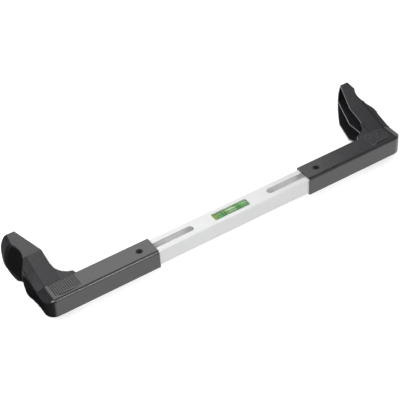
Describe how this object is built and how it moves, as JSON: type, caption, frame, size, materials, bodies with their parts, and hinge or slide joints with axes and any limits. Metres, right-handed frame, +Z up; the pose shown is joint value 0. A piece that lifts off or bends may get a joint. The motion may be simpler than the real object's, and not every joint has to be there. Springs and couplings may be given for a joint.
{
  "type": "steering wheel level",
  "caption": "Telescopic spirit level with sprung arms whose outward saddles press against the inside of a steering wheel rim; a slotted bar carries a framed vial.",
  "frame": {"origin": "on the ground plane, under the middle of the tool's bounding box", "axes": "+X along the bar to the right arm, +Y from the bar towards the limbs' tips, +Z up through the vial window"},
  "size_m": [0.4392, 0.1016, 0.0566],
  "materials": {
    "anodised_aluminium": "silver anodised, satin",
    "arm_plastic": "dark grey moulded plastic, fine satin texture",
    "pad_rubber": "black, matt",
    "black_screw": "black oxide steel",
    "bright_steel": "bright zinc plated",
    "spring_steel": "drawn spring wire",
    "end_plug_plastic": "black moulded plastic",
    "holder_plastic": "olive green moulded plastic",
    "vial_acrylic": "clear, green tint",
    "plug_plastic": "yellow-green, glossy",
    "vial_fluid": "green liquid",
    "vial_air": "bubble of air",
    "ring_print": "dark green printed lines"
  },
  "bodies": {
    "bar": {"bar_tube": "anodised_aluminium", "vial_holder": "holder_plastic", "holder_screws": "bright_steel", "vial_tube": "vial_acrylic", "vial_plug": "plug_plastic", "vial_liquid": "vial_fluid", "vial_bubble": "vial_air", "vial_rings": "ring_print", "left_bar_end_plug": "end_plug_plastic", "right_bar_end_plug": "end_plug_plastic"},
    "left_slide": {"left_arm": "arm_plastic", "left_saddle_pad": "pad_rubber", "left_stop_screw": "black_screw", "left_slider_nut": "bright_steel", "left_spring": "spring_steel"},
    "right_slide": {"right_arm": "arm_plastic", "right_saddle_pad": "pad_rubber", "right_stop_screw": "black_screw", "right_slider_nut": "bright_steel", "right_spring": "spring_steel"}
  },
  "joints": [
    {"name": "left_arm_slide", "type": "slide", "parent": "bar", "child": "left_slide", "axis": [1, 0, 0], "range_m": [0, 0.05875], "stiffness_N_per_m": 360, "springref_m": -0.01, "deforming": ["left_spring"]},
    {"name": "right_arm_slide", "type": "slide", "parent": "bar", "child": "right_slide", "axis": [-1, 0, 0], "range_m": [0, 0.05875], "stiffness_N_per_m": 360, "springref_m": -0.01, "deforming": ["right_spring"]}
  ]
}
